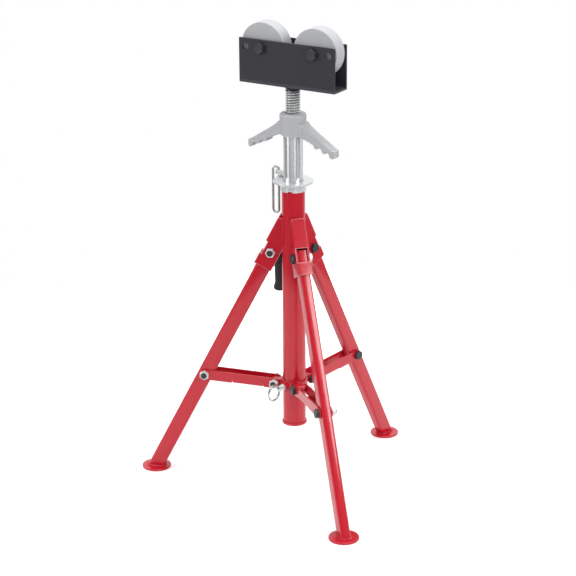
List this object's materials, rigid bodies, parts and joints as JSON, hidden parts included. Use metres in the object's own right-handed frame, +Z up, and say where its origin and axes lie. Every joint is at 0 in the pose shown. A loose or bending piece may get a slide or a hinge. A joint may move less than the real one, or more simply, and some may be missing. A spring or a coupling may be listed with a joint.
{
  "type": "roller stand",
  "caption": "Folding tripod pipe stand with a pin-set mast, a wing-nut lift screw and a channel head whose rollers carry a pipe.",
  "frame": {"origin": "floor level, at the middle of the footprint's box over the three foot plates", "axes": "+Z up along the mast, +X along the roller channel, +Y along the wheel axles"},
  "size_m": [0.5484, 0.526, 0.9246],
  "materials": {
    "red_paint": "gloss red enamel",
    "black_steel": "black oxide",
    "zinc_plate": "bright zinc",
    "screw_steel": "turned steel",
    "cast_grey": "grey painted casting",
    "wheel_grey": "satin grey",
    "bush_bronze": "sintered bronze",
    "black_paint": "satin black",
    "grip_rubber": "moulded matt"
  },
  "bodies": {
    "stand": {"main_tube": "red_paint", "tube_end_ring": "red_paint", "clamp_boss": "red_paint", "leg_bracket_1": "red_paint", "leg_bracket_2": "red_paint", "leg_bracket_3": "red_paint", "leg_pivot_bolt_1": "black_steel", "leg_pivot_bolt_2": "black_steel", "leg_pivot_bolt_3": "black_steel", "leg_pivot_nut_1": "zinc_plate", "leg_pivot_nut_2": "zinc_plate", "leg_pivot_nut_3": "zinc_plate"},
    "collar": {"sliding_collar": "red_paint"},
    "plunger": {"lock_plunger": "zinc_plate"},
    "pull_ring": {"lock_pull_ring": "zinc_plate"},
    "clamp": {"clamp_lever": "zinc_plate", "clamp_grip": "grip_rubber"},
    "flange": {"top_flange": "zinc_plate"},
    "mast": {"inner_tube": "zinc_plate", "thrust_washer": "zinc_plate"},
    "height_pin": {"height_pin": "zinc_plate"},
    "pin_loop": {"pin_wire_loop": "zinc_plate"},
    "wing_nut": {"wing_nut": "cast_grey"},
    "head": {"lift_screw": "screw_steel", "roller_channel": "black_paint", "axle_bolt_1": "black_steel", "axle_bolt_2": "black_steel", "axle_nut_1": "black_steel", "axle_nut_2": "black_steel", "wheel_spacer_front_1": "zinc_plate", "wheel_spacer_front_2": "zinc_plate", "wheel_spacer_back_1": "zinc_plate", "wheel_spacer_back_2": "zinc_plate"},
    "wheel_1": {"wheel_1": "wheel_grey", "wheel_bush_1": "bush_bronze"},
    "wheel_2": {"wheel_2": "wheel_grey", "wheel_bush_2": "bush_bronze"},
    "leg_1": {"leg_tube_1": "red_paint", "foot_plate_1": "red_paint"},
    "brace_1": {"brace_1": "red_paint", "brace_collar_bolt_1": "black_steel", "brace_collar_nut_1": "zinc_plate", "brace_leg_bolt_1": "black_steel", "brace_leg_nut_1": "zinc_plate"},
    "leg_2": {"leg_tube_2": "red_paint", "foot_plate_2": "red_paint"},
    "brace_2": {"brace_2": "red_paint", "brace_collar_bolt_2": "black_steel", "brace_collar_nut_2": "zinc_plate", "brace_leg_bolt_2": "black_steel", "brace_leg_nut_2": "zinc_plate"},
    "leg_3": {"leg_tube_3": "red_paint", "foot_plate_3": "red_paint"},
    "brace_3": {"brace_3": "red_paint", "brace_collar_bolt_3": "black_steel", "brace_collar_nut_3": "zinc_plate", "brace_leg_bolt_3": "black_steel", "brace_leg_nut_3": "zinc_plate"}
  },
  "joints": [
    {"name": "collar_slide", "type": "slide", "parent": "stand", "child": "collar", "axis": [0, 0, 1], "range_m": [0, 0.1119]},
    {"name": "leg_fold_1", "type": "hinge", "parent": "stand", "child": "leg_1", "pos_m": [0.0579, -0.07681, 0.479], "axis": [0.6428, 0.766, 0], "range_deg": [0, 19.75]},
    {"name": "leg_fold_2", "type": "hinge", "parent": "stand", "child": "leg_2", "pos_m": [0.03243, -0.00683, 0.479], "axis": [-0.9848, 0.1736, 0], "range_deg": [0, 19.75]},
    {"name": "leg_fold_3", "type": "hinge", "parent": "stand", "child": "leg_3", "pos_m": [-0.01544, -0.06388, 0.479], "axis": [0.342, -0.9397, 0], "range_deg": [0, 19.75]},
    {"name": "brace_swing_1", "type": "hinge", "parent": "collar", "child": "brace_1", "pos_m": [0.05461, -0.07405, 0.2056], "axis": [0.6428, 0.766, 0], "range_deg": [0, 75.45]},
    {"name": "brace_swing_2", "type": "hinge", "parent": "collar", "child": "brace_2", "pos_m": [0.03168, -0.01106, 0.2056], "axis": [-0.9848, 0.1736, 0], "range_deg": [0, 75.45]},
    {"name": "brace_swing_3", "type": "hinge", "parent": "collar", "child": "brace_3", "pos_m": [-0.0114, -0.06241, 0.2056], "axis": [0.342, -0.9397, 0], "range_deg": [0, 75.45]},
    {"name": "plunger_pull", "type": "slide", "parent": "collar", "child": "plunger", "axis": [-0.1736, -0.9848, 0], "range_m": [0, 0.006], "stiffness_N_per_m": 400, "springref_m": -0.005},
    {"name": "pull_ring_swing", "type": "hinge", "parent": "plunger", "child": "pull_ring", "pos_m": [0.01706, -0.09398, 0.2056], "axis": [0, 0, 1], "range_deg": [-60, 60]},
    {"name": "clamp_turn", "type": "hinge", "parent": "stand", "child": "clamp", "pos_m": [0.00773, -0.03471, 0.5], "axis": [-0.766, 0.6428, 0], "continuous": true},
    {"name": "flange_turn", "type": "hinge", "parent": "stand", "child": "flange", "pos_m": [0.02497, -0.04917, 0.6233], "axis": [0, 0, 1], "continuous": true},
    {"name": "mast_slide", "type": "slide", "parent": "flange", "child": "mast", "axis": [0, 0, 1], "range_m": [0, 0.35]},
    {"name": "pin_pull", "type": "slide", "parent": "mast", "child": "height_pin", "axis": [-0.9511, 0.309, 0], "range_m": [0, 0.06]},
    {"name": "pin_loop_swing", "type": "hinge", "parent": "height_pin", "child": "pin_loop", "pos_m": [-0.01517, -0.03613, 0.6296], "axis": [0, 0, 1], "range_deg": [-120, 60]},
    {"name": "screw_lift", "type": "slide", "parent": "mast", "child": "head", "axis": [0, 0, 1], "range_m": [-0.045, 0.02]},
    {"name": "wing_nut_turn", "type": "hinge", "parent": "mast", "child": "wing_nut", "pos_m": [0.02497, -0.04917, 0.7136], "axis": [0, 0, 1], "range_deg": [-1440.5, 3240.5]},
    {"name": "wheel_spin_1", "type": "hinge", "parent": "head", "child": "wheel_1", "pos_m": [-0.03204, -0.04917, 0.8776], "axis": [0, 1, 0], "continuous": true},
    {"name": "wheel_spin_2", "type": "hinge", "parent": "head", "child": "wheel_2", "pos_m": [0.08196, -0.04917, 0.8776], "axis": [0, 1, 0], "continuous": true}
  ],
  "couplings": [
    {"joint": "leg_fold_1", "follows": "collar_slide", "rad_per_m": 3.0789},
    {"joint": "leg_fold_2", "follows": "collar_slide", "rad_per_m": 3.0789},
    {"joint": "leg_fold_3", "follows": "collar_slide", "rad_per_m": 3.0789},
    {"joint": "brace_swing_1", "follows": "collar_slide", "rad_per_m": 11.767},
    {"joint": "brace_swing_2", "follows": "collar_slide", "rad_per_m": 11.767},
    {"joint": "brace_swing_3", "follows": "collar_slide", "rad_per_m": 11.767},
    {"joint": "wing_nut_turn", "follows": "screw_lift", "rad_per_m": -1256.6}
  ]
}
